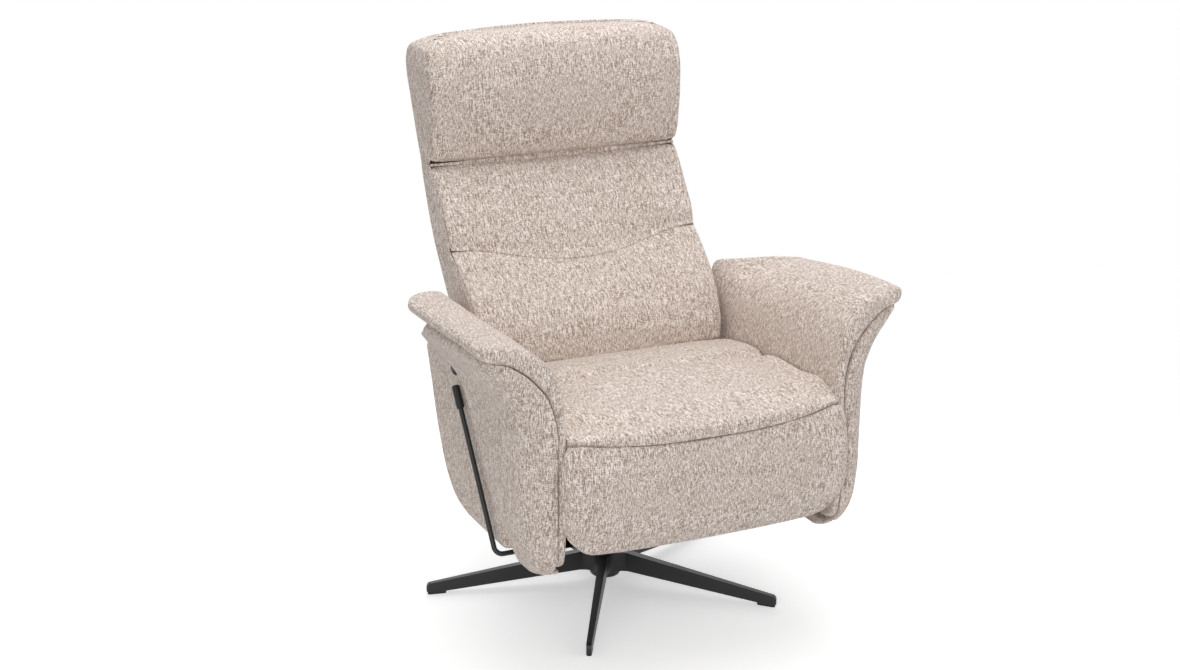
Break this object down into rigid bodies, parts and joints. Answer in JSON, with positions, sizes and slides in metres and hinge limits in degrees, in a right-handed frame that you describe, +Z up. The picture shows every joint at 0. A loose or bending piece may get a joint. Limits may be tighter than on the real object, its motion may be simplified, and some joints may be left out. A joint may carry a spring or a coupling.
{
  "type": "recliner",
  "caption": "Upholstered swivel recliner with flared wing-like arms, waisted back, folding head part and a padded leg rest, on a black star base with thin blade legs.",
  "frame": {"origin": "On the floor, at the centre of the bounding box seen from above; the swivel axis stands 48 mm behind it.", "axes": "+Z is up along the height, which is the longest side; the sitter faces -Y; the control rod is on the -X side."},
  "size_m": [0.818, 0.798, 1.036],
  "materials": {
    "black_cast": "satin",
    "black_steel": "satin",
    "black_plastic": "fine grain",
    "bush_nylon": "smooth",
    "zinc_steel": "zinc plated",
    "spring_steel": "drawn wire",
    "rod_steel": "polished",
    "fabric": "woven, beige",
    "cambric": "black non-woven",
    "webbing": "elastic webbing",
    "plywood": "raw plywood"
  },
  "bodies": {
    "base": {"star_base": "black_cast", "base_glides": "black_plastic", "base_column": "black_steel", "swivel_bush": "bush_nylon", "thrust_washer": "zinc_steel"},
    "chassis": {"swivel_plate": "black_steel", "swivel_bolts": "zinc_steel", "side_rails": "black_steel", "cross_tubes": "black_steel", "seat_frame": "black_steel", "seat_springs": "spring_steel", "spring_clips": "bush_nylon", "seat_pad": "fabric", "dust_cover": "cambric", "arm_board_left": "plywood", "arm_board_right": "plywood", "arm_spacers": "black_steel", "arm_bolts": "zinc_steel", "arm_pad_left": "fabric", "arm_pad_right": "fabric", "arm_panel_left": "fabric", "arm_panel_right": "fabric", "arm_side_left": "fabric", "arm_side_right": "fabric", "recline_brackets": "black_steel", "recline_pins": "zinc_steel", "legrest_brackets": "black_steel", "legrest_pins": "zinc_steel", "gas_anchor": "black_steel", "lever_bracket": "black_steel", "button_bezel": "black_plastic"},
    "back": {"back_frame": "black_steel", "back_webbing": "webbing", "lumbar_pad": "fabric", "upper_back_pad": "fabric", "back_cover": "fabric", "head_hinges": "black_steel", "head_pins": "zinc_steel"},
    "head": {"head_frame": "black_steel", "head_pad": "fabric", "head_cover": "fabric"},
    "legrest": {"legrest_board": "plywood", "legrest_arms": "black_steel", "legrest_pad": "fabric"},
    "lever": {"lever_rod": "black_steel", "lever_grip": "black_plastic"},
    "button": {"button_cap": "black_plastic"},
    "gas_cylinder": {"gas_cylinder": "black_steel"},
    "gas_rod": {"gas_rod": "rod_steel"}
  },
  "joints": [
    {"name": "swivel", "type": "hinge", "parent": "base", "child": "chassis", "pos_m": [0, 0.0485, 0.226], "axis": [0, 0, 1], "continuous": true},
    {"name": "back_recline", "type": "hinge", "parent": "chassis", "child": "back", "pos_m": [0, 0.0985, 0.428], "axis": [-1, 0, 0], "range_deg": [0, 35]},
    {"name": "headrest_tilt", "type": "hinge", "parent": "back", "child": "head", "pos_m": [0, 0.2845, 0.796], "axis": [1, 0, 0], "range_deg": [0, 35]},
    {"name": "legrest_swing", "type": "hinge", "parent": "chassis", "child": "legrest", "pos_m": [0, -0.3875, 0.45], "axis": [-1, 0, 0], "range_deg": [0, 88]},
    {"name": "lever_pull", "type": "hinge", "parent": "chassis", "child": "lever", "pos_m": [-0.235, -0.2215, 0.214], "axis": [-1, 0, 0], "range_deg": [0, 15], "stiffness_Nm_per_rad": 3},
    {"name": "button_press", "type": "slide", "parent": "chassis", "child": "button", "axis": [1, 0, 0], "range_m": [0, 0.003], "stiffness_N_per_m": 900},
    {"name": "gas_swing", "type": "hinge", "parent": "chassis", "child": "gas_cylinder", "pos_m": [0, -0.1415, 0.284], "axis": [1, 0, 0], "range_deg": [0, 1.53]},
    {"name": "gas_slide", "type": "slide", "parent": "gas_cylinder", "child": "gas_rod", "axis": [0, -0.9899, -0.1417], "range_m": [0, 0.06576]}
  ],
  "couplings": [
    {"joint": "gas_swing", "follows": "back_recline", "ratio": 0.043609},
    {"joint": "gas_slide", "follows": "back_recline", "m_per_rad": 0.10765}
  ]
}
